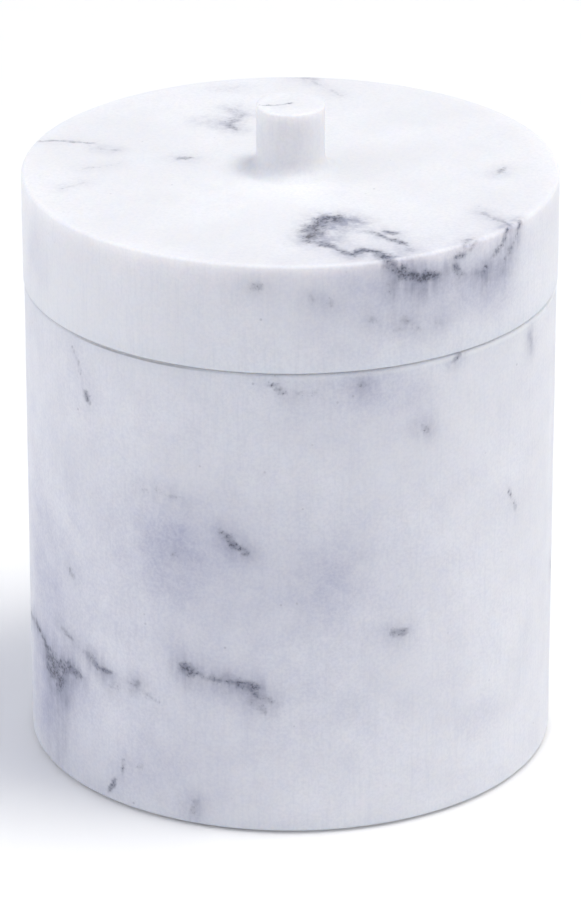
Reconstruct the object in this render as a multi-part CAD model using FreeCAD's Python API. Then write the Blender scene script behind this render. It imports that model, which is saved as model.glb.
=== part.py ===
import FreeCAD, Part

import math
import os

# Lidded round canister in cast stone. The lift-off lid and its small round knob are one casting.
# Millimetres, +Z up. The origin is on the axis, in the plane that the feet stand on.

# Jar
JAR_RADIUS = 50.0
JAR_WALL = 7.0
JAR_FLOOR = 8.0
JAR_RIM_Z = 92.5
JAR_EDGE_ROUND = 0.5        # outside edges of the rim and the base
MOUTH_ROUND = 0.8           # inside edge of the rim
FLOOR_CORNER_ROUND = 5.0    # inside corner between the wall and the floor

# Feet: four pads in shallow pockets under the floor
FOOT_PROUD = 0.4
FOOT_RADIUS = 6.0
FOOT_THICKNESS = 1.4
FOOT_CIRCLE_RADIUS = 38.0
FOOT_COUNT = 4
FOOT_EDGE_ROUND = 0.2

# Lid
LID_RADIUS = 50.2
LID_GAP = 0.25              # open line between the jar's rim and the lid
LID_TOP_Z = 113.6
LID_PLATE = 9.0             # thickness of the lid's top
LID_TOP_ROUND = 0.6
LID_LOWER_ROUND = 0.3
LID_HOLLOW_RADIUS = 35.0
LID_HOLLOW_ROUND = 1.5
SPIGOT_RADIUS = 42.2        # the rim under the lid that drops into the mouth
SPIGOT_DEPTH = 7.0          # how far it reaches below the jar's rim
SPIGOT_ROUND = 0.6

# Seal: an L-shaped ring, a sleeve in the spigot's groove with a lip over the jar's rim
SEAL_FIT = 0.05             # radial play between the seal and the lid
SEAL_SLEEVE = 1.2           # thickness of the sleeve
SEAL_LIP_RADIUS = 47.0
SEAL_LIP_THICKNESS = 0.9
SEAL_DEPTH = 5.2            # how far the sleeve reaches below the jar's rim
SEAL_FIN_RADIUS = 42.92     # tips of the two fins that centre the lid in the mouth
SEAL_FIN_HEIGHT = 0.8
SEAL_FIN_DEPTHS = (2.0, 4.2)

# Knob, cast with the lid
KNOB_RADIUS = 6.4
KNOB_HEIGHT = 12.7
KNOB_TOP_ROUND = 0.4
KNOB_FOOT_ROUND = 3.0       # hollow round that blends the knob into the lid's top

UP = FreeCAD.Vector(0, 0, 1)
LID_SEAT_Z = JAR_RIM_Z + LID_GAP
BASE_Z = FOOT_PROUD


def disc(radius, bottom, top, x=0.0, y=0.0):
    """A round solid on a vertical axis between two heights."""
    return Part.makeCylinder(radius, top - bottom, FreeCAD.Vector(x, y, bottom), UP)


def round_edges(solid, radius, edge_radius, heights):
    """Rounds the circular edges of one radius that lie at the given heights."""
    chosen = []
    for edge in solid.Edges:
        curve = edge.Curve
        if not isinstance(curve, Part.Circle):
            continue
        same_radius = abs(curve.Radius - edge_radius) < 1e-4
        same_height = any(abs(curve.Center.z - z) < 1e-4 for z in heights)
        if same_radius and same_height:
            chosen.append(edge)
    if not chosen:
        raise ValueError(f"no edge of radius {edge_radius} at {heights}")
    return solid.makeFillet(radius, chosen)


def foot_centres():
    """The feet lie on a circle, on the diagonals."""
    for index in range(FOOT_COUNT):
        angle = math.radians(45.0 + index * 360.0 / FOOT_COUNT)
        yield FOOT_CIRCLE_RADIUS * math.cos(angle), FOOT_CIRCLE_RADIUS * math.sin(angle)


def make_jar_body():
    """An open cup with a thick wall, and a shallow pocket under it for each foot."""
    inner_radius = JAR_RADIUS - JAR_WALL
    floor_z = BASE_Z + JAR_FLOOR
    body = disc(JAR_RADIUS, BASE_Z, JAR_RIM_Z)
    body = round_edges(body, JAR_EDGE_ROUND, JAR_RADIUS, (BASE_Z, JAR_RIM_Z))
    inside = disc(inner_radius, floor_z, JAR_RIM_Z + 1.0)
    inside = round_edges(inside, FLOOR_CORNER_ROUND, inner_radius, (floor_z,))
    body = body.cut(inside)
    body = round_edges(body, MOUTH_ROUND, inner_radius, (JAR_RIM_Z,))
    pocket_top = FOOT_THICKNESS
    for x, y in foot_centres():
        body = body.cut(disc(FOOT_RADIUS, BASE_Z - 1.0, pocket_top, x, y))
    return body


def make_foot_pad(x, y):
    """A thin disc that fills its pocket and stands a little proud of the base."""
    pad = disc(FOOT_RADIUS, 0.0, FOOT_THICKNESS, x, y)
    return round_edges(pad, FOOT_EDGE_ROUND, FOOT_RADIUS, (0.0,))


def make_lid():
    """A thick round lid with its knob, hollow underneath, and a grooved spigot that drops into the mouth."""
    spigot_bottom = JAR_RIM_Z - SPIGOT_DEPTH
    lid = disc(LID_RADIUS, LID_SEAT_Z, LID_TOP_Z)
    lid = round_edges(lid, LID_TOP_ROUND, LID_RADIUS, (LID_TOP_Z,))
    lid = round_edges(lid, LID_LOWER_ROUND, LID_RADIUS, (LID_SEAT_Z,))
    spigot = disc(SPIGOT_RADIUS, spigot_bottom, LID_SEAT_Z)
    spigot = round_edges(spigot, SPIGOT_ROUND, SPIGOT_RADIUS, (spigot_bottom,))
    lid = lid.fuse(spigot).removeSplitter()
    lid = add_knob(lid)
    lid = lid.cut(make_seal_groove())
    hollow_top = LID_TOP_Z - LID_PLATE
    hollow = disc(LID_HOLLOW_RADIUS, spigot_bottom - 1.0, hollow_top)
    hollow = round_edges(hollow, LID_HOLLOW_ROUND, LID_HOLLOW_RADIUS, (hollow_top,))
    return lid.cut(hollow)


def add_knob(lid):
    """Grows the straight round knob out of the lid's top, with a hollow round at its foot."""
    knob_top = LID_TOP_Z + KNOB_HEIGHT
    lid = lid.fuse(disc(KNOB_RADIUS, LID_TOP_Z - 1.0, knob_top)).removeSplitter()
    lid = round_edges(lid, KNOB_FOOT_ROUND, KNOB_RADIUS, (LID_TOP_Z,))
    return round_edges(lid, KNOB_TOP_ROUND, KNOB_RADIUS, (knob_top,))


def make_seal_groove():
    """The ring-shaped space in the lid that the seal's sleeve and lip lie in."""
    sleeve_outer = SPIGOT_RADIUS + 1.0
    groove_radius = SPIGOT_RADIUS - SEAL_SLEEVE
    sleeve_bottom = JAR_RIM_Z - SEAL_DEPTH
    lip_top = JAR_RIM_Z + SEAL_LIP_THICKNESS
    sleeve = disc(sleeve_outer, sleeve_bottom, lip_top).cut(
        disc(groove_radius, sleeve_bottom - 1.0, lip_top + 1.0)
    )
    lip = disc(SEAL_LIP_RADIUS + SEAL_FIT, LID_SEAT_Z - 1.0, lip_top)
    return sleeve.fuse(lip.cut(disc(groove_radius, LID_SEAT_Z - 2.0, lip_top + 1.0)))


def make_lid_seal():
    """An L-shaped ring with two thin fins round its sleeve."""
    inner = SPIGOT_RADIUS - SEAL_SLEEVE + SEAL_FIT
    sleeve_bottom = JAR_RIM_Z - SEAL_DEPTH
    lip_top = JAR_RIM_Z + SEAL_LIP_THICKNESS
    ring = disc(SPIGOT_RADIUS, sleeve_bottom, lip_top)
    ring = ring.fuse(disc(SEAL_LIP_RADIUS, JAR_RIM_Z, lip_top))
    for depth in SEAL_FIN_DEPTHS:
        middle = JAR_RIM_Z - depth
        ring = ring.fuse(make_fin(middle))
    ring = ring.cut(disc(inner, sleeve_bottom - 1.0, lip_top + 1.0))
    return ring.removeSplitter()


def make_fin(middle):
    """Two short cones, base to base, whose shared edge is the tip of a fin."""
    half = SEAL_FIN_HEIGHT / 2.0
    lower = Part.makeCone(SPIGOT_RADIUS, SEAL_FIN_RADIUS, half, FreeCAD.Vector(0, 0, middle - half), UP)
    upper = Part.makeCone(SEAL_FIN_RADIUS, SPIGOT_RADIUS, half, FreeCAD.Vector(0, 0, middle), UP)
    return lower.fuse(upper)


def make_all():
    """Every separate piece of the object, by name."""
    pieces = {
        "jar_body": make_jar_body(),
        "lid_with_knob": make_lid(),
        "lid_seal": make_lid_seal(),
    }
    for number, (x, y) in enumerate(foot_centres(), start=1):
        pieces[f"foot_pad_{number}"] = make_foot_pad(x, y)
    return pieces


def main():
    os.makedirs("parts", exist_ok=True)
    for name, shape in make_all().items():
        if not shape.isValid():
            raise ValueError(f"{name} is not a valid solid")
        shape.exportStep(f"parts/{name}.step")
        print(f"{name}: {len(shape.Solids)} solid, {shape.Volume / 1000.0:.2f} cm3")


main()
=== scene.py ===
"""Looks of a wide lidded canister in white marble-look cast stone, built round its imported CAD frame.

The jar and its lid are turned again as fine meshes, so that veins can be written on their points. The
seal and the feet keep their CAD shapes and get finished materials.
"""

import math
from typing import NamedTuple

import bmesh
import bpy
import numpy as np
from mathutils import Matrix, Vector, noise


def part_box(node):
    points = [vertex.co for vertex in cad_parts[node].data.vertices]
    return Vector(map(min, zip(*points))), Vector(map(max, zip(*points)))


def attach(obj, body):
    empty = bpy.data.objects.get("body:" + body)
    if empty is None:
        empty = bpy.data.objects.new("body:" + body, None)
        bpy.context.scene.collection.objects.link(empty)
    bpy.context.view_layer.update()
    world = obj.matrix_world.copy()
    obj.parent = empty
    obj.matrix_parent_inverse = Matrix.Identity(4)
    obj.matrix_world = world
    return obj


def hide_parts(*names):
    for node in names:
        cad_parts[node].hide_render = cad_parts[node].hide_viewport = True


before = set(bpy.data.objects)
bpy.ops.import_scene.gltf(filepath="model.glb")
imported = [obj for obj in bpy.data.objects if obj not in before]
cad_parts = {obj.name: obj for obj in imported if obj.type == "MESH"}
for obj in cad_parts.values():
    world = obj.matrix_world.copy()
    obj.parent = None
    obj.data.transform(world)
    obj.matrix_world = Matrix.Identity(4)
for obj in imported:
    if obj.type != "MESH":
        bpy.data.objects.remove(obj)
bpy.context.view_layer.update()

MM = 0.001
FRONT = -math.pi / 2.0      # the direction of -Y, where side angles are counted from
FOOT_PADS = ("foot_pad_1", "foot_pad_2", "foot_pad_3", "foot_pad_4")

# Sizes in millimetres that the frame's boxes don't give
JAR_WALL = 7.0
JAR_FLOOR = 8.0
JAR_EDGE_ROUND = 0.5
MOUTH_ROUND = 0.8
FLOOR_CORNER_ROUND = 5.0
LID_GAP = 0.25
LID_PLATE = 9.0
LID_TOP_ROUND = 0.6
LID_LOWER_ROUND = 0.3
LID_HOLLOW_RADIUS = 35.0
LID_HOLLOW_ROUND = 1.5
SPIGOT_RADIUS = 42.2
SPIGOT_ROUND = 0.6
GROOVE_DEPTH = 1.2
SEAL_PLAY = 0.05
KNOB_RADIUS = 6.4
KNOB_HEIGHT = 12.7
KNOB_TOP_ROUND = 0.4
KNOB_FOOT_ROUND = 3.0

# Fineness of the turned meshes
FINE_STEP = 0.75            # mm between rings where veins are written
COARSE_STEP = 5.0           # mm between rings elsewhere
COLUMNS = 480               # round the axis
ARC_STEPS = 6               # in each round of an outline
POCKET_SIDES = 64           # of the round tools that cut the foot pockets
GUARD = 0.15                # mm from an edge to the ring that keeps the shading of its flat clean

# Hand finishing: how far the surface strays inwards, in millimetres
SKIN = 2.0                  # depth of the outside layer that the slow waves move
WAVE_DEPTH = 0.05
WAVE_LENGTH = 18.0
NICK_REACH = 1.0            # how far from an edge its nicks reach
NICK_DEPTH = 0.16
NICK_LENGTH = 1.6
NICK_START = 0.15           # noise below this makes no nick


class Vein(NamedTuple):
    """A dark vein. A side path is (degrees right of the front, mm up); a top path is (x, y) in mm."""

    path: tuple
    width: float            # half width of its granular core, mm
    tone: float             # how closely its dark grains stand, 0 to 1
    halo: float = 0.3       # strength of the soft stain round it
    bleed: float = 0.0      # how far its stain runs down a side, mm


class Cloud(NamedTuple):
    """A soft grey patch on a side, centred at (degrees, mm up), with its half sizes in mm."""

    degrees: float
    height: float
    across: float
    up: float
    tone: float


JAR_VEINS = (
    # the dark cluster low on the left: a line that comes round from behind, and the grains it ends in
    Vein(((-97, 22), (-86, 24), (-76, 26)), 0.8, 0.6, 0.3, 2.0),
    Vein(((-76, 26), (-70, 25), (-63, 23)), 0.9, 0.95, 0.4, 3.0),
    Vein(((-67, 22), (-62, 22), (-56, 24)), 1.7, 0.85, 0.7, 9.0),
    Vein(((-67, 20), (-59, 20)), 1.7, 0.85, 0.8, 12.0),
    Vein(((-62, 18), (-59, 18)), 1.4, 0.75, 0.7, 12.0),
    Vein(((-56, 24), (-52, 23)), 1.1, 0.7, 0.4, 2.0),
    # the broken line above it, with the faint knots it ends in
    Vein(((-60, 31), (-55, 30)), 0.7, 0.65, 0.3, 1.0),
    Vein(((-55, 30), (-48, 28)), 0.6, 0.35, 0.15),
    Vein(((-49, 29), (-46, 27)), 1.0, 0.65, 0.4, 1.5),
    Vein(((-46, 27), (-42, 27)), 0.7, 0.7, 0.2, 1.0),
    Vein(((-37, 26), (-34, 27)), 0.9, 0.5, 0.4, 1.0),
    Vein(((-34, 25), (-29, 24)), 0.7, 0.35, 0.1),
    Vein(((-43, 24), (-40, 25)), 0.9, 0.3, 0.2),
    # the long vein low in the middle
    Vein(((-22, 32), (-18, 31), (-14, 31)), 0.8, 0.7, 0.35, 2.0),
    Vein(((-24, 33), (-21, 31)), 1.1, 0.85, 0.5, 3.0),
    Vein(((-14, 31), (-7, 30)), 0.9, 0.8, 0.35, 1.5),
    Vein(((-11, 30), (-4, 27)), 0.9, 0.6, 0.3, 1.0),
    Vein(((-9, 27), (-5, 25)), 0.9, 0.4, 0.15),
    # a knot above it, with the faint line that leads to it
    Vein(((-15, 61), (-12, 59), (-9, 58)), 0.7, 0.75, 0.25),
    Vein(((-13, 59), (-9, 57)), 0.7, 0.85, 0.2),
    Vein(((-26, 55), (-25, 54)), 0.7, 0.4, 0.2),
    Vein(((-34, 66), (-29, 67), (-23, 66)), 0.9, 0.3, 0.2),
    # short marks under the rim
    Vein(((-5, 91), (-1, 89)), 0.8, 0.7, 0.2),
    Vein(((1, 89), (5, 89)), 0.8, 0.4, 0.2),
    Vein(((14, 90), (16, 90)), 0.9, 0.45, 0.3),
    Vein(((28, 80), (30, 79)), 0.8, 0.55, 0.3),
    Vein(((38, 92), (36, 91)), 0.6, 0.55, 0.2, 1.5),
    Vein(((62, 90), (63, 87)), 0.8, 0.3, 0.4, 5.0),
    # marks elsewhere
    Vein(((22, 40), (25, 39)), 0.8, 0.85, 0.3),
    Vein(((54, 61), (55, 59)), 0.8, 0.65, 0.1),
    Vein(((56, 58), (57, 56)), 0.8, 0.5, 0.1),
    Vein(((-56, 44), (-54, 43)), 0.9, 0.65, 0.2),
    Vein(((-39, 10), (-39, 7)), 0.7, 0.65, 0.1),
    Vein(((-41, 5), (-43, 2)), 0.7, 0.75, 0.1),
    Vein(((-34, 10), (-35, 9)), 0.7, 0.4, 0.1),
    Vein(((-21, 5), (-21, 2)), 0.8, 0.4, 0.3, 1.0),
    Vein(((-53, 90), (-50, 85)), 0.6, 0.45, 0.05),
    Vein(((-49, 82), (-47, 80)), 0.8, 0.6, 0.1),
)

JAR_BACK_VEINS = (
    # a long broken line that climbs round from the right
    Vein(((98, 28), (106, 31), (113, 30.5), (121, 34), (128, 36)), 0.8, 0.75, 0.3, 2.0),
    Vein(((128, 36), (134, 40), (141, 41), (146, 45)), 0.9, 0.45, 0.2),
    Vein(((121, 34), (126, 31), (129, 27)), 0.7, 0.6, 0.15),
    # a cluster of grains high at the back, and the lines that join it
    Vein(((160, 70), (166, 68), (172, 66)), 0.7, 0.5, 0.2),
    Vein(((172, 66), (176, 64), (180, 64.5), (183, 62)), 1.7, 0.75, 0.6, 8.0),
    Vein(((174, 62), (179, 61)), 1.5, 0.65, 0.6, 10.0),
    Vein(((183, 62), (189, 61), (196, 57), (203, 56)), 0.8, 0.7, 0.2, 1.0),
    # a line low at the back
    Vein(((205, 20), (212, 17), (218, 17.5), (224, 14)), 0.9, 0.8, 0.35, 2.0),
    Vein(((224, 14), (229, 15), (233, 12)), 0.8, 0.4, 0.2),
    # short marks
    Vein(((142, 84), (143, 81), (145, 79)), 0.8, 0.5, 0.2),
    Vein(((150, 14), (151, 11)), 0.9, 0.7, 0.3, 2.0),
    Vein(((232, 74), (236, 73), (238, 70)), 0.9, 0.6, 0.3),
    Vein(((100, 72), (101, 69)), 0.9, 0.7, 0.2),
    Vein(((246, 46), (250, 45)), 0.9, 0.6, 0.2),
    Vein(((114, 55), (116, 54)), 0.9, 0.4, 0.3),
    Vein(((82, 36), (84, 33)), 0.8, 0.5, 0.2),
)

JAR_CLOUDS_AND_SHADE = (
    # a thin haze over the whole jar, broad hazes over its middle, and a broad painted shade over its left
    # side
    Cloud(0, 46, 400.0, 200.0, 0.18),
    Cloud(-28, 46, 26.0, 20.0, 0.25),
    Cloud(8, 50, 20.0, 18.0, 0.25),
    Cloud(4, 24, 18.0, 10.0, 0.15),
    # painted shade: a broad darkening of the jar's left side
    Cloud(-72, 48, 26.0, 34.0, 0.22),
    # broad hazes low on the left and in the middle
    Cloud(-62, 22, 22.0, 20.0, 0.22),
    Cloud(-30, 14, 20.0, 12.0, 0.12),
    # smaller clouds
    Cloud(-26, 57, 10.0, 7.0, 0.55),
    Cloud(-18, 58, 7.0, 5.0, 0.60),
    Cloud(-27, 51, 7.0, 6.0, 0.35),
    Cloud(-23, 35, 4.0, 3.0, 0.40),
    Cloud(8, 52, 6.0, 6.0, 0.45),
    Cloud(15, 90, 6.0, 2.5, 0.45),
    Cloud(19, 87, 9.0, 4.0, 0.50),
    Cloud(28, 80, 5.0, 4.0, 0.20),
    Cloud(0, 85, 9.0, 6.0, 0.12),
    Cloud(-66, 48, 8.0, 5.0, 0.35),
    Cloud(-65, 35, 7.0, 6.0, 0.55),
    Cloud(-74, 42, 8.0, 12.0, 0.30),
    Cloud(-62, 20, 9.0, 6.0, 0.50),
    Cloud(-12, 28, 9.0, 4.0, 0.25),
    Cloud(-65, 20, 7.0, 12.0, 0.70),
    Cloud(-70, 14, 7.0, 10.0, 0.95),
    Cloud(-30, 10, 12.0, 8.0, 0.25),
    Cloud(44, 17, 5.0, 4.0, 0.20),
    Cloud(-50, 85, 6.0, 6.0, 0.20),
    # round the back
    Cloud(176, 56, 10.0, 8.0, 0.55),
    Cloud(188, 50, 9.0, 7.0, 0.40),
    Cloud(120, 40, 9.0, 5.0, 0.35),
    Cloud(136, 46, 8.0, 6.0, 0.40),
    Cloud(214, 24, 9.0, 6.0, 0.35),
    Cloud(150, 78, 8.0, 5.0, 0.30),
    Cloud(240, 64, 7.0, 6.0, 0.35),
    Cloud(100, 60, 8.0, 8.0, 0.30),
    Cloud(160, 26, 16.0, 10.0, 0.25),
)

LID_SIDE_VEINS = (
    # the heavy vein that runs down from the top's edge
    Vein(((21, 114), (22, 112), (25, 110)), 1.3, 1.0, 0.6, 1.5),
    Vein(((25, 110), (28, 109)), 0.8, 0.95, 0.4, 1.0),
    Vein(((28, 109), (32, 109)), 0.9, 1.0, 0.4, 3.0),
    Vein(((21, 109), (21, 107)), 0.8, 0.3, 0.4, 3.0),
    Vein(((28, 108), (28, 106)), 0.8, 0.3, 0.5, 3.0),
    Vein(((43, 114), (40, 112), (36, 111)), 0.7, 0.7, 0.1),
    Vein(((36, 110), (38, 108)), 0.9, 0.75, 0.3, 5.0),
    # the pair that slants over the edge on the right
    Vein(((47, 109), (50, 111), (52, 114)), 0.7, 0.8, 0.15, 2.0),
    Vein(((44, 107), (45, 108)), 0.6, 0.8, 0.2, 3.0),
    Vein(((51, 108), (55, 111)), 0.7, 0.65, 0.2, 3.0),
    Vein(((55, 111), (57, 114)), 0.7, 0.65, 0.2, 3.0),
    Vein(((42, 107), (46, 106), (51, 106)), 1.4, 0.25, 0.6, 6.0),
    # a dotted row below
    Vein(((16, 103), (18, 102)), 0.8, 0.4, 0.2),
    Vein(((23, 102), (25, 101)), 0.8, 0.5, 0.2),
    Vein(((22, 100), (23, 100)), 0.8, 0.3, 0.1),
    Vein(((27, 100), (28, 99)), 0.8, 0.35, 0.2),
    Vein(((31, 100), (33, 99)), 0.8, 0.35, 0.2),
    Vein(((4, 108), (4, 107)), 0.8, 0.5, 0.2),
    Vein(((8, 107), (8, 106)), 0.9, 0.45, 0.2),
    Vein(((-8, 109), (-6, 110)), 0.9, 0.5, 0.2),
)

LID_BACK_VEINS = (
    Vein(((112, 108), (118, 106), (123, 107), (130, 104)), 0.8, 0.7, 0.3, 2.0),
    Vein(((176, 113.8), (178, 111), (182, 109), (186, 109.5)), 0.9, 0.85, 0.4, 4.0),
    Vein(((186, 109.5), (192, 107), (196, 107.5)), 0.7, 0.5, 0.2, 2.0),
    Vein(((214, 101), (217, 100)), 0.9, 0.5, 0.2),
    Vein(((240, 106), (244, 104.5)), 0.9, 0.6, 0.3, 2.0),
    Vein(((150, 99), (152, 98)), 0.9, 0.4, 0.2),
)

LID_CLOUDS = (
    Cloud(14, 108, 7.0, 4.0, 0.30),
    Cloud(30, 104, 38.0, 16.0, 0.33),
    Cloud(28, 106, 8.0, 5.0, 0.35),
    Cloud(45, 104, 7.0, 5.0, 0.45),
    Cloud(50, 104, 5.0, 5.0, 0.40),
    Cloud(-70, 103, 6.0, 5.0, 0.30),
    Cloud(182, 105, 9.0, 5.0, 0.40),
    Cloud(124, 103, 8.0, 4.0, 0.30),
    Cloud(238, 101, 8.0, 5.0, 0.30),
)

LID_TOP_VEINS = (
    # the broken ring near the front edge
    Vein(((3, -37), (4, -32), (6, -26)), 2.0, 0.85, 0.3),
    Vein(((5, -28), (7, -26), (9, -27)), 2.0, 0.8, 0.3),
    Vein(((7, -35), (8, -31), (11, -29)), 2.6, 0.08, 0.6),
    Vein(((3, -38), (7, -40), (11, -45)), 1.2, 0.75, 0.3),
    Vein(((11, -45), (13, -42), (15, -43)), 1.1, 0.85, 0.25),
    Vein(((15, -43), (18, -47)), 1.4, 1.0, 0.3),
    Vein(((14, -33), (17, -35)), 1.3, 0.75, 0.2),
    Vein(((17, -33), (19, -34)), 1.0, 0.75, 0.2),
    Vein(((17, -36), (19, -38), (21, -40)), 1.0, 0.8, 0.15),
    Vein(((21, -41), (22, -43)), 0.8, 0.4, 0.2),
    Vein(((10, -27), (13, -28)), 0.9, 0.35, 0.3),
    # where the side's right-hand lines come over the edge
    Vein(((31, -41), (33, -36)), 0.8, 0.75, 0.2),
    Vein(((35, -23), (38, -27), (40, -30)), 0.8, 0.45, 0.3),
    # fine marks round the back and the left
    Vein(((40, 0), (39, -2), (38, -4)), 0.8, 0.45, 0.2),
    Vein(((-48, 14), (-43, 14), (-37, 13)), 0.7, 0.6, 0.1),
    Vein(((-36, 10), (-33, 9)), 1.1, 0.45, 0.25),
    Vein(((-39, -1), (-32, 2)), 0.8, 0.3, 0.1),
    Vein(((-42, -11), (-38, -8)), 0.9, 0.3, 0.15),
    Vein(((-21, 5), (-18, 5)), 1.0, 0.45, 0.2),
    Vein(((-12, 32), (-9, 30), (-12, 23), (-10, 20)), 1.4, 0.45, 0.35),
    Vein(((-17, 25), (-12, 23)), 1.5, 0.25, 0.3),
    Vein(((-14, 43), (-10, 44)), 1.0, 0.25, 0.15),
    Vein(((4, 48), (7, 43), (10, 39)), 0.9, 0.3, 0.15),
)

KNOB_TOP_VEINS = (
    Vein(((-6, -1), (-3, -1), (0, 0)), 0.30, 0.9, 0.1),
)

# How veins and clouds are drawn, in millimetres
WANDERS = ((4.0, 0.4), (1.3, 0.35))     # (length, reach) of the noises that bend a vein
SWELL_LENGTH = 1.8          # of the noise that makes a vein thicker and thinner
SWELL_REACH = 0.7           # how much it does so, as a share of the half width
SWELL_LIMITS = (0.6, 1.5)   # least and most share of the half width
END_SHARE = 0.6             # share of the half width that is left at a vein's ends
PLACES_PER_LEG = 16         # places traced between two points of a path
CUT_OFF = 2.5               # half widths past a vein's line at which it is cut off
HALO_REACH = 1.6            # how far the soft stain reaches past a vein's core
RUN_SPREAD = 1.6            # half width of the stain that one place lets run down
RUN_DEPTH = 1.5             # how deep under the side's surface such a stain goes
RUN_RISE = 0.25             # how far it reaches up, as a share of how far it runs down
RUN_TONE = 0.5              # its strength, as a share of its vein's tone
CLOUD_DEPTH = 12.0          # how deep under the side's surface a cloud goes
CLOUD_RAGGED = 6.0          # length of the noise that makes a cloud ragged
CLOUD_UNEVEN = 0.5          # how strongly it does so
CLOUD_CUT_OFF = 6.0         # squared distance, in half sizes, at which a cloud ends
RIM_HIGHLIGHT_REACH = 0.35           # half height of the painted highlight line along the rim
SEAM_SHADE_REACH = 0.24          # half height of the painted seam shade line above it
BATCH = 4000                # points compared with a vein at a time
SEED_SHIFT = (7.3, 3.1, 5.7)    # how far one seed moves a noise along x, y and z, in its own lengths


def size(node):
    """A node's largest radius, lowest and highest point, in millimetres."""
    low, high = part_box(node)
    return high.x / MM, low.z / MM, high.z / MM


# ---------------------------------------------------------------- turned meshes


def arc(centre_radius, centre_height, radius, start, end):
    """Points of a round between two angles in degrees, both ends included."""
    points = []
    for index in range(ARC_STEPS + 1):
        angle = math.radians(start + (end - start) * index / ARC_STEPS)
        points.append((centre_radius + radius * math.cos(angle), centre_height + radius * math.sin(angle)))
    return points


def run(start, end, step):
    """Points strictly between two others, no further apart than step, with a guard by each end."""
    length = math.dist(start, end)
    count = max(1, math.ceil(length / step))
    shares = [index / count for index in range(1, count)]
    if length > 4.0 * GUARD:
        shares = [GUARD / length, *shares, 1.0 - GUARD / length]
    return [tuple(a + (b - a) * share for a, b in zip(start, end)) for share in shares]


def outline(corners):
    """Joins (points, step) stretches: each stretch's points, then a run to the next one's first."""
    points = []
    for index, (stretch, step) in enumerate(corners):
        points.extend(stretch)
        if step:
            following = corners[(index + 1) % len(corners)][0][0]
            points.extend(run(stretch[-1], following, step))
    return points


def turn(name, points):
    """A surface of revolution, capped where its outline starts and ends beside the axis."""
    angles = np.arange(COLUMNS) * 2.0 * math.pi / COLUMNS
    rings = np.array(points) * MM
    vertices = np.empty((len(rings), COLUMNS, 3))
    vertices[..., 0] = rings[:, None, 0] * np.cos(angles)
    vertices[..., 1] = rings[:, None, 0] * np.sin(angles)
    vertices[..., 2] = rings[:, None, 1]
    last = (len(rings) - 1) * COLUMNS
    faces = [tuple(range(COLUMNS)), tuple(range(last, last + COLUMNS))]
    for here in range(0, last, COLUMNS):
        there = here + COLUMNS
        for column in range(COLUMNS):
            after = (column + 1) % COLUMNS
            faces.append((here + column, here + after, there + after, there + column))
    mesh = bpy.data.meshes.new(name)
    mesh.from_pydata(vertices.reshape(-1, 3).tolist(), [], faces)
    face_outwards(mesh)
    mesh.shade_smooth()
    piece = bpy.data.objects.new(name, mesh)
    bpy.context.scene.collection.objects.link(piece)
    return piece


def face_outwards(mesh):
    """Turns every face so that its front looks out of the solid."""
    work = bmesh.new()
    work.from_mesh(mesh)
    bmesh.ops.recalc_face_normals(work, faces=work.faces)
    work.to_mesh(mesh)
    work.free()


def jar_outline():
    """(radius, height) points from the middle of the base, over the rim, to the middle of the floor."""
    radius, base, rim = size("jar_body")
    inner = radius - JAR_WALL
    floor = base + JAR_FLOOR
    edge = JAR_EDGE_ROUND
    corner = FLOOR_CORNER_ROUND
    return outline([
        ([(GUARD, base)], COARSE_STEP),
        (arc(radius - edge, base + edge, edge, -90, 0), FINE_STEP),
        (arc(radius - edge, rim - edge, edge, 0, 90), FINE_STEP),
        (arc(inner + MOUTH_ROUND, rim - MOUTH_ROUND, MOUTH_ROUND, 90, 180), COARSE_STEP),
        (arc(inner - corner, floor + corner, corner, 0, -90), COARSE_STEP),
        ([(GUARD, floor)], 0),
    ])


def lid_outline():
    """(radius, height) points from the knob's top, over the lid and its spigot, to the hollow's roof."""
    radius, spigot_bottom, knob_top = size("lid_with_knob")
    seal_radius, seal_bottom, lip_top = size("lid_seal")
    lip_radius = seal_radius + SEAL_PLAY
    seat = size("jar_body")[2] + LID_GAP
    groove = SPIGOT_RADIUS - GROOVE_DEPTH
    top = knob_top - KNOB_HEIGHT
    roof = top - LID_PLATE
    hollow = LID_HOLLOW_RADIUS
    foot = KNOB_FOOT_ROUND
    return outline([
        ([(GUARD, knob_top)], FINE_STEP),
        (arc(KNOB_RADIUS - KNOB_TOP_ROUND, knob_top - KNOB_TOP_ROUND, KNOB_TOP_ROUND, 90, 0), FINE_STEP),
        (arc(KNOB_RADIUS + foot, top + foot, foot, 180, 270), FINE_STEP),
        (arc(radius - LID_TOP_ROUND, top - LID_TOP_ROUND, LID_TOP_ROUND, 90, 0), FINE_STEP),
        (arc(radius - LID_LOWER_ROUND, seat + LID_LOWER_ROUND, LID_LOWER_ROUND, 0, -90), COARSE_STEP),
        ([(lip_radius, seat)], COARSE_STEP),
        ([(lip_radius, lip_top)], COARSE_STEP),
        ([(groove, lip_top)], COARSE_STEP),
        ([(groove, seal_bottom)], COARSE_STEP),
        ([(SPIGOT_RADIUS, seal_bottom)], COARSE_STEP),
        (arc(SPIGOT_RADIUS - SPIGOT_ROUND, spigot_bottom + SPIGOT_ROUND, SPIGOT_ROUND, 0, -90), COARSE_STEP),
        ([(hollow, spigot_bottom)], COARSE_STEP),
        (arc(hollow - LID_HOLLOW_ROUND, roof - LID_HOLLOW_ROUND, LID_HOLLOW_ROUND, 0, 90), COARSE_STEP),
        ([(GUARD, roof)], 0),
    ])


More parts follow.
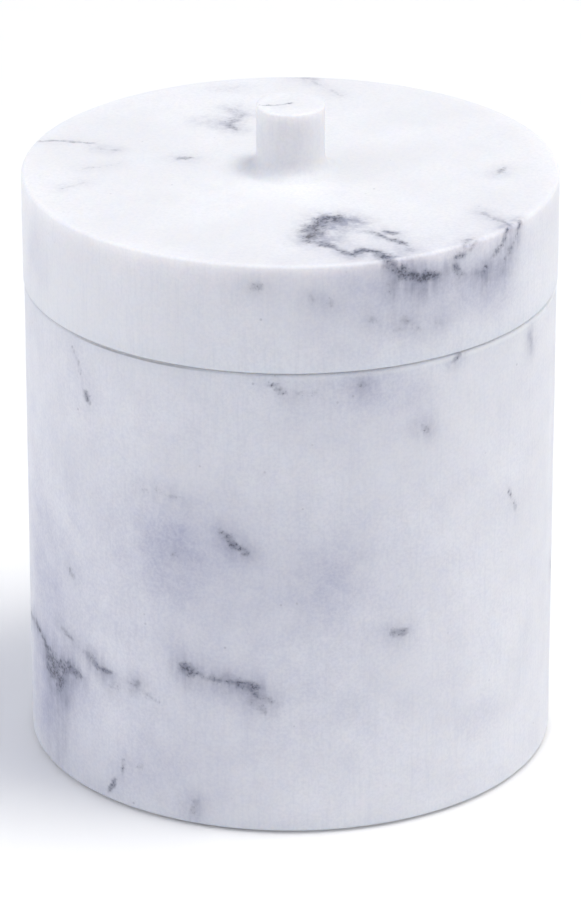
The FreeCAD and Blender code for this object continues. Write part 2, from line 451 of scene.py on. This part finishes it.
def cut_foot_pockets(jar):
    """Takes the four pockets out of the jar's underside."""
    work = bmesh.new()
    for node in FOOT_PADS:
        low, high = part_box(node)
        middle = (low + high) / 2.0
        radius = (high.x - low.x) / 2.0
        depth = 2.0 * high.z
        placed = bmesh.ops.create_cone(
            work, cap_ends=True, segments=POCKET_SIDES, radius1=radius, radius2=radius, depth=depth,
        )
        bmesh.ops.translate(work, verts=placed["verts"], vec=(middle.x, middle.y, high.z - depth / 2.0))
    mesh = bpy.data.meshes.new("pockets")
    work.to_mesh(mesh)
    work.free()
    tool = bpy.data.objects.new("pockets", mesh)
    bpy.context.scene.collection.objects.link(tool)
    cut = jar.modifiers.new("pockets", "BOOLEAN")
    cut.operation = "DIFFERENCE"
    cut.solver = "EXACT"
    cut.object = tool
    apply_modifiers(jar)
    bpy.data.objects.remove(tool)


def apply_modifiers(piece):
    """Gives a piece the mesh that its modifiers make of it."""
    depsgraph = bpy.context.evaluated_depsgraph_get()
    mesh = bpy.data.meshes.new_from_object(piece.evaluated_get(depsgraph))
    piece.modifiers.clear()
    piece.data = mesh
    mesh.shade_smooth()


# ---------------------------------------------------------------- points of a mesh, in millimetres


def points_of(piece):
    flat = np.empty(len(piece.data.vertices) * 3, np.float32)
    piece.data.vertices.foreach_get("co", flat)
    return flat.reshape(-1, 3).astype(float) / MM


def set_points(piece, points):
    piece.data.vertices.foreach_set("co", (points * MM).astype(np.float32).ravel())
    piece.data.update()


def noise_at(points, length, seed):
    """Smooth noise from -1 to 1 at each point, with features of about the given length in mm."""
    shift = Vector([seed * axis for axis in SEED_SHIFT])
    return np.array([noise.noise(Vector(point) / length + shift) for point in points])


def uneven(piece, edges, seed):
    """Slow waves over the outside, and shallow nicks along the given (radius, height) edges."""
    points = points_of(piece)
    radius = np.hypot(points[:, 0], points[:, 1])
    outside = radius > radius.max() - SKIN
    inward = np.zeros(len(points))
    waves = noise_at(points[outside], WAVE_LENGTH, seed)
    inward[outside] = WAVE_DEPTH * (0.5 + 0.5 * waves)
    for edge_radius, edge_height in edges:
        distance = np.hypot(radius - edge_radius, points[:, 2] - edge_height)
        near = distance < NICK_REACH
        nicks = noise_at(points[near], NICK_LENGTH, seed + 1)
        closeness = 1.0 - distance[near] / NICK_REACH
        inward[near] += NICK_DEPTH * np.clip(nicks - NICK_START, 0.0, 1.0) * closeness ** 2
    share = 1.0 - inward / np.maximum(radius, 1.0)
    points[:, 0] *= share
    points[:, 1] *= share
    set_points(piece, points)


# ---------------------------------------------------------------- veins written on the points


class Side:
    """The round side. Its rows are (degrees right of the front, mm up)."""

    def __init__(self, radius):
        self.radius = radius

    def place(self, rows):
        angle = FRONT + np.radians(rows[:, 0])
        return np.column_stack([self.radius * np.cos(angle), self.radius * np.sin(angle), rows[:, 1]])

    def snap(self, places):
        share = self.radius / np.hypot(places[:, 0], places[:, 1])
        return places * np.column_stack([share, share, np.ones(len(places))])


class Top:
    """A flat top. Its rows are (x, y) in mm."""

    def __init__(self, height):
        self.height = height

    def place(self, rows):
        return np.column_stack([rows, np.full(len(rows), self.height)])

    def snap(self, places):
        return np.column_stack([places[:, :2], np.full(len(places), self.height)])


def trace(vein, surface, seed):
    """Close-set places along a vein with their half widths: it wanders, swells and thins out at its ends."""
    rows = []
    for start, end in zip(vein.path, vein.path[1:]):
        start = np.array(start, float)
        end = np.array(end, float)
        shares = np.linspace(0.0, 1.0, PLACES_PER_LEG, endpoint=False)[:, None]
        rows.append(start + (end - start) * shares)
    rows.append(np.array([vein.path[-1]], float))
    places = surface.place(np.vstack(rows))
    for length, reach in WANDERS:
        wander = [noise_at(places, length, seed + axis) for axis in range(3)]
        places = surface.snap(places + reach * np.column_stack(wander))
    share = np.linspace(0.0, 1.0, len(places))
    ends = np.sqrt(np.clip(np.sin(math.pi * share), 0.0, 1.0))
    swell = 1.0 + SWELL_REACH * noise_at(places, SWELL_LENGTH, seed + 3)
    taper = END_SHARE + (1.0 - END_SHARE) * ends
    widths = vein.width * taper * np.clip(swell, *SWELL_LIMITS)
    return places, widths


def nearness(points, places, widths):
    """How near each point is to a traced vein: 1 on its line, falling smoothly to nothing."""
    reach = CUT_OFF * widths.max()
    low = places.min(0) - reach
    high = places.max(0) + reach
    near = np.flatnonzero(((points > low) & (points < high)).all(1))
    value = np.zeros(len(points))
    for start in range(0, len(near), BATCH):
        some = near[start:start + BATCH]
        away = np.linalg.norm(points[some, None] - places[None], axis=2) / widths
        value[some] = np.exp(-(away ** 2).min(1))
    return value


def run_of(points, places, bleed, radius):
    """The stain that runs down a side from a traced vein."""
    angle = np.arctan2(points[:, 1], points[:, 0])
    vein_angle = np.arctan2(places[:, 1], places[:, 0])
    near = np.flatnonzero(np.hypot(points[:, 0], points[:, 1]) > radius - RUN_DEPTH)
    value = np.zeros(len(points))
    for start in range(0, len(near), BATCH):
        some = near[start:start + BATCH]
        turned = angle[some, None] - vein_angle[None]
        across = radius * np.abs((turned + math.pi) % (2.0 * math.pi) - math.pi)
        below = places[None, :, 2] - points[some, None, 2]
        fall = np.where(below > 0.0, np.exp(-below / bleed), np.exp(below / (RUN_RISE * bleed)))
        value[some] = (fall * np.exp(-(across / RUN_SPREAD) ** 2)).max(1)
    return value


def cloud_and_shade_of(points, cloud_and_shade, radius, seed):
    """A ragged soft patch on the side, which goes into the stone and fades on the way to the axis."""
    angle = np.arctan2(points[:, 1], points[:, 0]) - FRONT - math.radians(cloud_and_shade.degrees)
    across = radius * ((angle + math.pi) % (2.0 * math.pi) - math.pi)
    up = points[:, 2] - cloud_and_shade.height
    inward = radius - np.hypot(points[:, 0], points[:, 1])
    spread = (across / cloud_and_shade.across) ** 2 + (up / cloud_and_shade.up) ** 2 + (inward / CLOUD_DEPTH) ** 2
    near = spread < CLOUD_CUT_OFF
    value = np.zeros(len(points))
    ragged = 1.0 + CLOUD_UNEVEN * noise_at(points[near], CLOUD_RAGGED, seed)
    value[near] = cloud_and_shade.tone * np.exp(-spread[near]) * np.clip(ragged, 0.0, 2.0)
    return value


def over(below, above):
    """Lays one field over another, so that both show and neither passes 1."""
    return 1.0 - (1.0 - below) * (1.0 - np.clip(above, 0.0, 1.0))


def write_field(piece, name, values):
    attribute = piece.data.attributes.new(name, "FLOAT", "POINT")
    attribute.data.foreach_set("value", values.astype(np.float32))


def write_marks(piece, radius, groups, clouds_and_shade, seed):
    """Writes the fields vein, stain and the clouds' field, which on the jar also holds a broad painted
    shade. groups holds (veins, surface) pairs.
    """
    points = points_of(piece)
    vein_field = np.zeros(len(points))
    stain_field = np.zeros(len(points))
    cloud_and_shade_field = np.zeros(len(points))
    for veins, surface in groups:
        for vein in veins:
            seed += 1
            places, widths = trace(vein, surface, seed)
            vein_field = np.maximum(vein_field, vein.tone * nearness(points, places, widths))
            halo = nearness(points, places, HALO_REACH + widths)
            stain_field = over(stain_field, vein.halo * halo)
            if vein.bleed:
                run_down = run_of(points, places, vein.bleed, radius)
                stain_field = over(stain_field, RUN_TONE * vein.tone * run_down)
    for cloud_and_shade in clouds_and_shade:
        seed += 1
        cloud_and_shade_field = over(cloud_and_shade_field, cloud_and_shade_of(points, cloud_and_shade, radius, seed))
    write_field(piece, "vein", vein_field)
    write_field(piece, "stain", stain_field)
    write_field(piece, "cloud_and_shade", cloud_and_shade_field)


def write_rim_line(piece, name, radius, height, reach, degrees, spread):
    """Writes a field that is 1 on a thin level line and fades away on both sides of one direction."""
    points = points_of(piece)
    across = np.hypot(points[:, 0], points[:, 1]) - radius
    line = np.exp(-(np.hypot(across, points[:, 2] - height) / reach) ** 4)
    angle = np.degrees(np.arctan2(points[:, 1], points[:, 0]) - FRONT) - degrees
    turned = (angle + 180.0) % 360.0 - 180.0
    write_field(piece, name, line * np.exp(-(turned / spread) ** 4))


# ---------------------------------------------------------------- material building blocks


class Nodes:
    """A material's node tree, with short calls for the nodes used here."""

    def __init__(self, name):
        self.material = bpy.data.materials.new(name)
        self.material.use_nodes = True
        self.tree = self.material.node_tree
        self.tree.nodes.clear()
        output = self.tree.nodes.new("ShaderNodeOutputMaterial")
        self.shader = self.tree.nodes.new("ShaderNodeBsdfPrincipled")
        self.link(self.shader.outputs["BSDF"], output.inputs["Surface"])
        self.place = self.tree.nodes.new("ShaderNodeTexCoord").outputs["Object"]

    def link(self, source, target):
        self.tree.links.new(source, target)

    def put(self, socket, value):
        """Links an output, or sets a plain value."""
        if isinstance(value, bpy.types.NodeSocket):
            self.link(value, socket)
        else:
            socket.default_value = value

    def field(self, name):
        node = self.tree.nodes.new("ShaderNodeAttribute")
        node.attribute_name = name
        return node.outputs["Fac"]

    def math(self, operation, a, b=0.0):
        node = self.tree.nodes.new("ShaderNodeMath")
        node.operation = operation
        self.put(node.inputs[0], a)
        self.put(node.inputs[1], b)
        return node.outputs[0]

    def stretch(self, source, scale):
        node = self.tree.nodes.new("ShaderNodeMapping")
        self.link(source, node.inputs["Vector"])
        node.inputs["Scale"].default_value = scale
        return node.outputs["Vector"]

    def noise(self, length, detail=2.0, roughness=0.5, source=None):
        """Noise from 0 to 1 with features of about the given length in metres."""
        node = self.tree.nodes.new("ShaderNodeTexNoise")
        self.link(source or self.place, node.inputs["Vector"])
        node.inputs["Scale"].default_value = 1.0 / length
        node.inputs["Detail"].default_value = detail
        node.inputs["Roughness"].default_value = roughness
        return node.outputs["Fac"]

    def cells(self, length, randomness=1.0):
        """Distance to the nearest of scattered points, for specks."""
        node = self.tree.nodes.new("ShaderNodeTexVoronoi")
        self.link(self.place, node.inputs["Vector"])
        node.inputs["Scale"].default_value = 1.0 / length
        node.inputs["Randomness"].default_value = randomness
        return node.outputs["Distance"]

    def remap(self, value, low, high, to_low=0.0, to_high=1.0, smooth=True):
        node = self.tree.nodes.new("ShaderNodeMapRange")
        node.interpolation_type = "SMOOTHSTEP" if smooth else "LINEAR"
        self.link(value, node.inputs["Value"])
        node.inputs["From Min"].default_value = low
        node.inputs["From Max"].default_value = high
        node.inputs["To Min"].default_value = to_low
        node.inputs["To Max"].default_value = to_high
        return node.outputs["Result"]

    def blend(self, share, a, b):
        node = self.tree.nodes.new("ShaderNodeMix")
        node.data_type = "RGBA"
        self.put(node.inputs["Factor"], share)
        self.put(node.inputs["A"], a)
        self.put(node.inputs["B"], b)
        return node.outputs["Result"]

    def bump(self, height, distance, strength=1.0):
        node = self.tree.nodes.new("ShaderNodeBump")
        self.link(height, node.inputs["Height"])
        node.inputs["Distance"].default_value = distance
        node.inputs["Strength"].default_value = strength
        self.link(node.outputs["Normal"], self.shader.inputs["Normal"])


def colour(red, green, blue):
    return (red, green, blue, 1.0)


# Colours of the stone and of what is in it and on it, and of the painted highlight and shade
WHITE_DIM = colour(0.82, 0.82, 0.84)
WHITE_CLEAR = colour(0.87, 0.87, 0.89)
MOTTLE = colour(0.75, 0.76, 0.80)
SCRATCH = colour(0.70, 0.71, 0.76)
# painted highlight: a whiter line along the jar's rim where the light from the right catches it
PAINTED_RIM_HIGHLIGHT_WHITE = colour(0.97, 0.965, 0.95)
# painted shade: a dark line at the seam under the lid, on the jar's left front
PAINTED_SEAM_SHADE_GREY = colour(0.30, 0.28, 0.27)
# grey of the clouds, also used for the broad painted shade on the jar's left side
CLOUD_AND_SHADE_GREY = colour(0.50, 0.51, 0.62)
STAIN_GREY = colour(0.33, 0.34, 0.43)
VEIN_WASH = colour(0.19, 0.20, 0.265)
VEIN_DARK = colour(0.085, 0.092, 0.125)
VEIN_RUSTY = colour(0.115, 0.106, 0.118)
SPECK = colour(0.30, 0.30, 0.36)

# Lengths of the stone's features, in metres
MOTTLE_LENGTH = 0.022
GRAIN_LENGTH = 0.0006
CLUMP_LENGTH = 0.0024       # of the clumps that grains gather in
STREAK_LENGTH = 0.0016
SCRATCH_LENGTH = 0.0007
WISP_LENGTH = 0.0045
RUST_LENGTH = 0.012         # of the areas where veins look rusty
SPECK_SPACING = 0.0034
SPECKED_LENGTH = 0.006      # of the areas that have specks
SHEEN_LENGTH = 0.004        # of the areas that are more and less polished
RELIEF_LENGTHS = (0.0012, 0.006)
RELIEF_HEIGHT = 0.00002
LIGHT_DEPTH = 0.004         # how far light passes into the stone
STREAK_SQUEEZE = (1.0, 1.0, 0.12)       # draws streaks out upright
SCRATCH_SQUEEZE = (1.0, 1.0, 0.06)      # draws scratches out upright

# Strengths of what is in the stone
MOST_STAIN = 0.9
WASH_STRENGTH = 0.72
GRAIN_SCATTER = 2.4         # how much chance decides where a dark grain shows
GRAIN_CROWDING = 0.62       # how much the nearness of a vein decides it
SPECK_STRENGTH = 0.35


def cast_stone():
    """White cast marble: faint mottling and grain, grey clouds, soft stains and granular dark veins, with a
    painted highlight and a painted shade line along the jar's rim and a broad painted shade on the jar's
    left side.
    """
    n = Nodes("cast_stone")
    fine = n.noise(GRAIN_LENGTH, 2.0, 0.6)
    clumps = n.noise(CLUMP_LENGTH, 3.0, 0.6)
    stone = white_stone(n, fine)
    stone = add_clouds_and_shade(n, stone, fine)
    stone = add_stains(n, stone, clumps)
    stone = add_veins(n, stone, clumps)
    stone = add_specks(n, stone)
    n.link(stone, n.shader.inputs["Base Color"])
    hone(n)
    return n.material


def white_stone(n, fine):
    """The plain stone: mottling, grain and upright scratches, with a painted highlight line along the rim on
    the right and a painted shade line at the seam on the left.
    """
    slow = n.noise(MOTTLE_LENGTH, 3.0)
    scratches = n.noise(SCRATCH_LENGTH, 3.0, 0.7, n.stretch(n.place, SCRATCH_SQUEEZE))
    white = n.blend(n.remap(slow, 0.35, 0.7), WHITE_DIM, WHITE_CLEAR)
    white = n.blend(n.remap(fine, 0.35, 0.7, 0.0, 0.4), white, MOTTLE)
    white = n.blend(n.remap(scratches, 0.45, 0.75, 0.0, 0.3), white, SCRATCH)
    # painted highlight along the jar's rim on the right
    white = n.blend(n.field("edge"), white, PAINTED_RIM_HIGHLIGHT_WHITE)
    # painted shade at the seam on the jar's left front
    return n.blend(n.field("painted_seam_shade"), white, PAINTED_SEAM_SHADE_GREY)


def add_clouds_and_shade(n, stone, fine):
    """Pale lavender clouds, broken up by wisps and by the stone's grain; on the jar they include a broad
    painted shade on its left side.
    """
    wisps = n.noise(WISP_LENGTH, 4.0, 0.65)
    cloud_and_shade = n.math("MULTIPLY", n.field("cloud_and_shade"), n.remap(wisps, 0.3, 0.7, 0.78, 1.15))
    cloud_and_shade = n.math("MULTIPLY", cloud_and_shade, n.remap(fine, 0.3, 0.7, 0.85, 1.15))
    return n.blend(cloud_and_shade, stone, CLOUD_AND_SHADE_GREY)


def add_stains(n, stone, clumps):
    """Soft grey stains, drawn out into upright streaks."""
    streaks = n.noise(STREAK_LENGTH, 3.0, 0.6, n.stretch(n.place, STREAK_SQUEEZE))
    stain = n.math("MULTIPLY", n.field("stain"), n.remap(streaks, 0.3, 0.7, 0.5, 1.25))
    stain = n.math("MULTIPLY", stain, n.remap(clumps, 0.3, 0.7, 0.7, 1.15))
    return n.blend(n.math("MINIMUM", stain, MOST_STAIN), stone, STAIN_GREY)


def add_veins(n, stone, clumps):
    """Veins: a bluish wash, and in it dark grains that crowd together along the middle."""
    grains = n.noise(GRAIN_LENGTH, 3.0, 0.65)
    vein = n.field("vein")
    density = n.math("MULTIPLY", vein, n.remap(clumps, 0.3, 0.7, 0.65, 1.35))
    wash = n.math("MULTIPLY", n.remap(density, 0.10, 0.9), WASH_STRENGTH)
    washed = n.blend(wash, stone, VEIN_WASH)
    scatter = n.math("MULTIPLY", n.math("SUBTRACT", grains, 0.5), GRAIN_SCATTER)
    crowd = n.math("ADD", n.math("MULTIPLY", density, GRAIN_CROWDING), scatter)
    core = n.math("MULTIPLY", n.remap(crowd, 0.36, 0.90), n.remap(vein, 0.04, 0.25))
    rusty = n.remap(n.noise(RUST_LENGTH, 2.0), 0.56, 0.66)
    dark = n.blend(rusty, VEIN_DARK, VEIN_RUSTY)
    return n.blend(n.math("MULTIPLY", core, n.remap(vein, 0.2, 0.95, 0.45, 0.9)), washed, dark)


def add_specks(n, stone):
    """Single small specks, in some patches only."""
    patchy = n.remap(n.noise(SPECKED_LENGTH, 2.0), 0.56, 0.66)
    speck = n.math("MULTIPLY", n.remap(n.cells(SPECK_SPACING), 0.10, 0.05, 0.0, 1.0), patchy)
    return n.blend(n.math("MULTIPLY", speck, SPECK_STRENGTH), stone, SPECK)


def hone(n):
    """A honed surface with a very fine relief, and light that passes a few millimetres into the stone."""
    n.link(n.remap(n.noise(SHEEN_LENGTH, 3.0), 0.3, 0.7, 0.42, 0.56), n.shader.inputs["Roughness"])
    n.shader.inputs["Specular IOR Level"].default_value = 0.45
    n.shader.inputs["Subsurface Weight"].default_value = 1.0
    n.shader.inputs["Subsurface Radius"].default_value = (1.0, 0.85, 0.70)
    n.shader.inputs["Subsurface Scale"].default_value = LIGHT_DEPTH
    fine, broad = RELIEF_LENGTHS
    relief = n.math("ADD", n.noise(fine, 3.0, 0.6), n.math("MULTIPLY", n.noise(broad, 2.0), 2.0))
    n.bump(relief, RELIEF_HEIGHT, 0.6)


def silicone():
    """Translucent milky silicone with a fine bloom of dust."""
    n = Nodes("silicone")
    dust = n.noise(0.0015, 4.0, 0.65)
    n.link(n.blend(n.remap(dust, 0.35, 0.7), colour(0.62, 0.62, 0.64), colour(0.74, 0.74, 0.75)),
           n.shader.inputs["Base Color"])
    n.link(n.remap(dust, 0.3, 0.7, 0.5, 0.68), n.shader.inputs["Roughness"])
    n.bump(n.noise(0.0006, 2.0), 0.00002, 0.5)
    return n.material


def foot_rubber():
    """Dark closed-cell rubber with a pebbled face, greyed where it has picked up dust."""
    n = Nodes("foot_rubber")
    pebble = n.cells(0.0009)
    dust = n.noise(0.004, 4.0, 0.6)
    n.link(n.blend(n.remap(dust, 0.45, 0.75), colour(0.105, 0.10, 0.095), colour(0.19, 0.185, 0.175)),
           n.shader.inputs["Base Color"])
    n.link(n.remap(dust, 0.3, 0.7, 0.75, 0.92), n.shader.inputs["Roughness"])
    n.bump(pebble, 0.0001, 0.6)
    return n.material


def dress(piece, material):
    piece.data.materials.clear()
    piece.data.materials.append(material)


# ---------------------------------------------------------------- pieces


def make_jar(stone):
    radius, base, rim = size("jar_body")
    jar = turn("jar_stone", jar_outline())
    cut_foot_pockets(jar)
    uneven(jar, ((radius, base), (radius, rim)), seed=1)
    groups = ((JAR_VEINS + JAR_BACK_VEINS, Side(radius)),)
    write_marks(jar, radius, groups, JAR_CLOUDS_AND_SHADE, seed=100)
    # a painted highlight along the rim, round the right side
    write_rim_line(jar, "edge", radius, rim - 1.2 * RIM_HIGHLIGHT_REACH, RIM_HIGHLIGHT_REACH, degrees=60.0, spread=62.0)
    # a painted shade line at the seam, on the left front
    write_rim_line(jar, "painted_seam_shade", radius, rim - 0.5 * SEAM_SHADE_REACH, SEAM_SHADE_REACH, degrees=-36.0, spread=16.0)
    finish_piece(jar, "jar", stone, "jar_body")


def make_lid(stone):
    radius, _, knob_top = size("lid_with_knob")
    top = knob_top - KNOB_HEIGHT
    seat = size("jar_body")[2] + LID_GAP
    lid = turn("lid_stone", lid_outline())
    uneven(lid, ((radius, top), (radius, seat)), seed=2)
    groups = (
        (LID_SIDE_VEINS + LID_BACK_VEINS, Side(radius)),
        (LID_TOP_VEINS, Top(top)),
        (KNOB_TOP_VEINS, Top(knob_top)),
    )
    write_marks(lid, radius, groups, LID_CLOUDS, seed=200)
    finish_piece(lid, "lid", stone, "lid_with_knob")


def finish_piece(piece, body, material, node):
    dress(piece, material)
    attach(piece, body)
    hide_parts(node)


def dress_cad_nodes():
    """The shown CAD pieces get their finishes."""
    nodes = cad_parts
    rubber = foot_rubber()
    dress(nodes["lid_seal"], silicone())
    for node in FOOT_PADS:
        dress(nodes[node], rubber)


# ---------------------------------------------------------------- stage, light and camera


FLOOR_HALF = 4.0            # metres
FLOOR_GLOW = 0.04           # strength of its faint light


def make_floor():
    """A faintly lit table top in white acrylic, in which light spreads a little before it comes out."""
    mesh = bpy.data.meshes.new("floor")
    half = FLOOR_HALF
    corners = [(-half, -half, 0.0), (half, -half, 0.0), (half, half, 0.0), (-half, half, 0.0)]
    mesh.from_pydata(corners, [], [(0, 1, 2, 3)])
    floor = bpy.data.objects.new("floor", mesh)
    bpy.context.scene.collection.objects.link(floor)
    n = Nodes("floor")
    n.shader.inputs["Base Color"].default_value = colour(0.93, 0.93, 0.935)
    n.shader.inputs["Roughness"].default_value = 0.9
    n.shader.inputs["Subsurface Weight"].default_value = 1.0
    n.shader.inputs["Subsurface Radius"].default_value = (1.0, 1.0, 1.0)
    n.shader.inputs["Subsurface Scale"].default_value = 0.004
    n.shader.inputs["Emission Color"].default_value = colour(1.0, 1.0, 1.0)
    n.shader.inputs["Emission Strength"].default_value = FLOOR_GLOW
    dress(floor, n.material)


class Light(NamedTuple):
    """A soft square light aimed at the jar's middle. It stands in a direction right of the front."""

    name: str
    degrees: float
    elevation: float        # degrees
    distance: float         # metres
    width: float            # metres
    watts: float
    tint: tuple


LIGHTS = (
    # a warm key high on the right, a low one below it, and a wide one on the left
    Light("key", 78, 74, 2.6, 1.0, 39.3, (1.0, 0.98, 0.90)),
    Light("side", 78, 32, 2.0, 1.0, 5.2, (1.0, 0.98, 0.92)),
    Light("left_fill", -85, 34, 2.0, 1.8, 12.2, (1.0, 0.99, 0.96)),
)
LIGHT_AIM = Vector((0.0, 0.0, 0.07))
ROOM_TINT = colour(0.80, 0.84, 1.0)
ROOM_STRENGTH = 0.485


def make_light(light):
    lamp = bpy.data.lights.new(light.name, "AREA")
    lamp.shape = "SQUARE"
    lamp.size = light.width
    lamp.energy = light.watts
    lamp.color = light.tint
    stand = bpy.data.objects.new(light.name, lamp)
    bpy.context.scene.collection.objects.link(stand)
    angle = FRONT + math.radians(light.degrees)
    rise = math.radians(light.elevation)
    away = Vector((math.cos(angle) * math.cos(rise), math.sin(angle) * math.cos(rise), math.sin(rise)))
    stand.location = LIGHT_AIM + away * light.distance
    stand.rotation_euler = (-away).to_track_quat("-Z", "Y").to_euler()


def make_room():
    """A cool even light from all round."""
    world = bpy.data.worlds.new("studio")
    world.use_nodes = True
    background = world.node_tree.nodes["Background"]
    background.inputs["Color"].default_value = ROOM_TINT
    background.inputs["Strength"].default_value = ROOM_STRENGTH
    bpy.context.scene.world = world


CAMERA_ELEVATION = 23.42    # degrees
CAMERA_DISTANCE = 1.10      # metres
CAMERA_AIM = Vector((0.0, 0.0, 0.0562))
CAMERA_LENS = 231.2         # mm
CAMERA_FILM_WIDTH = 36.0    # mm
CAMERA_FAR_CLIP = 20.0      # metres


def make_camera():
    """A long lens from the front, well above the table, with the jar filling the frame."""
    elevation = math.radians(CAMERA_ELEVATION)
    camera = bpy.data.cameras.new("camera")
    camera.lens = CAMERA_LENS
    camera.sensor_width = CAMERA_FILM_WIDTH
    camera.clip_end = CAMERA_FAR_CLIP
    view = bpy.data.objects.new("camera", camera)
    bpy.context.scene.collection.objects.link(view)
    back = Vector((0.0, -math.cos(elevation), math.sin(elevation)))
    view.location = CAMERA_AIM + back * CAMERA_DISTANCE
    view.rotation_euler = (-back).to_track_quat("-Z", "Y").to_euler()
    bpy.context.scene.camera = view


def main():
    stone = cast_stone()
    make_jar(stone)
    make_lid(stone)
    dress_cad_nodes()
    make_floor()
    for light in LIGHTS:
        make_light(light)
    make_room()
    make_camera()
    bpy.context.scene.view_settings.view_transform = "Standard"


main()
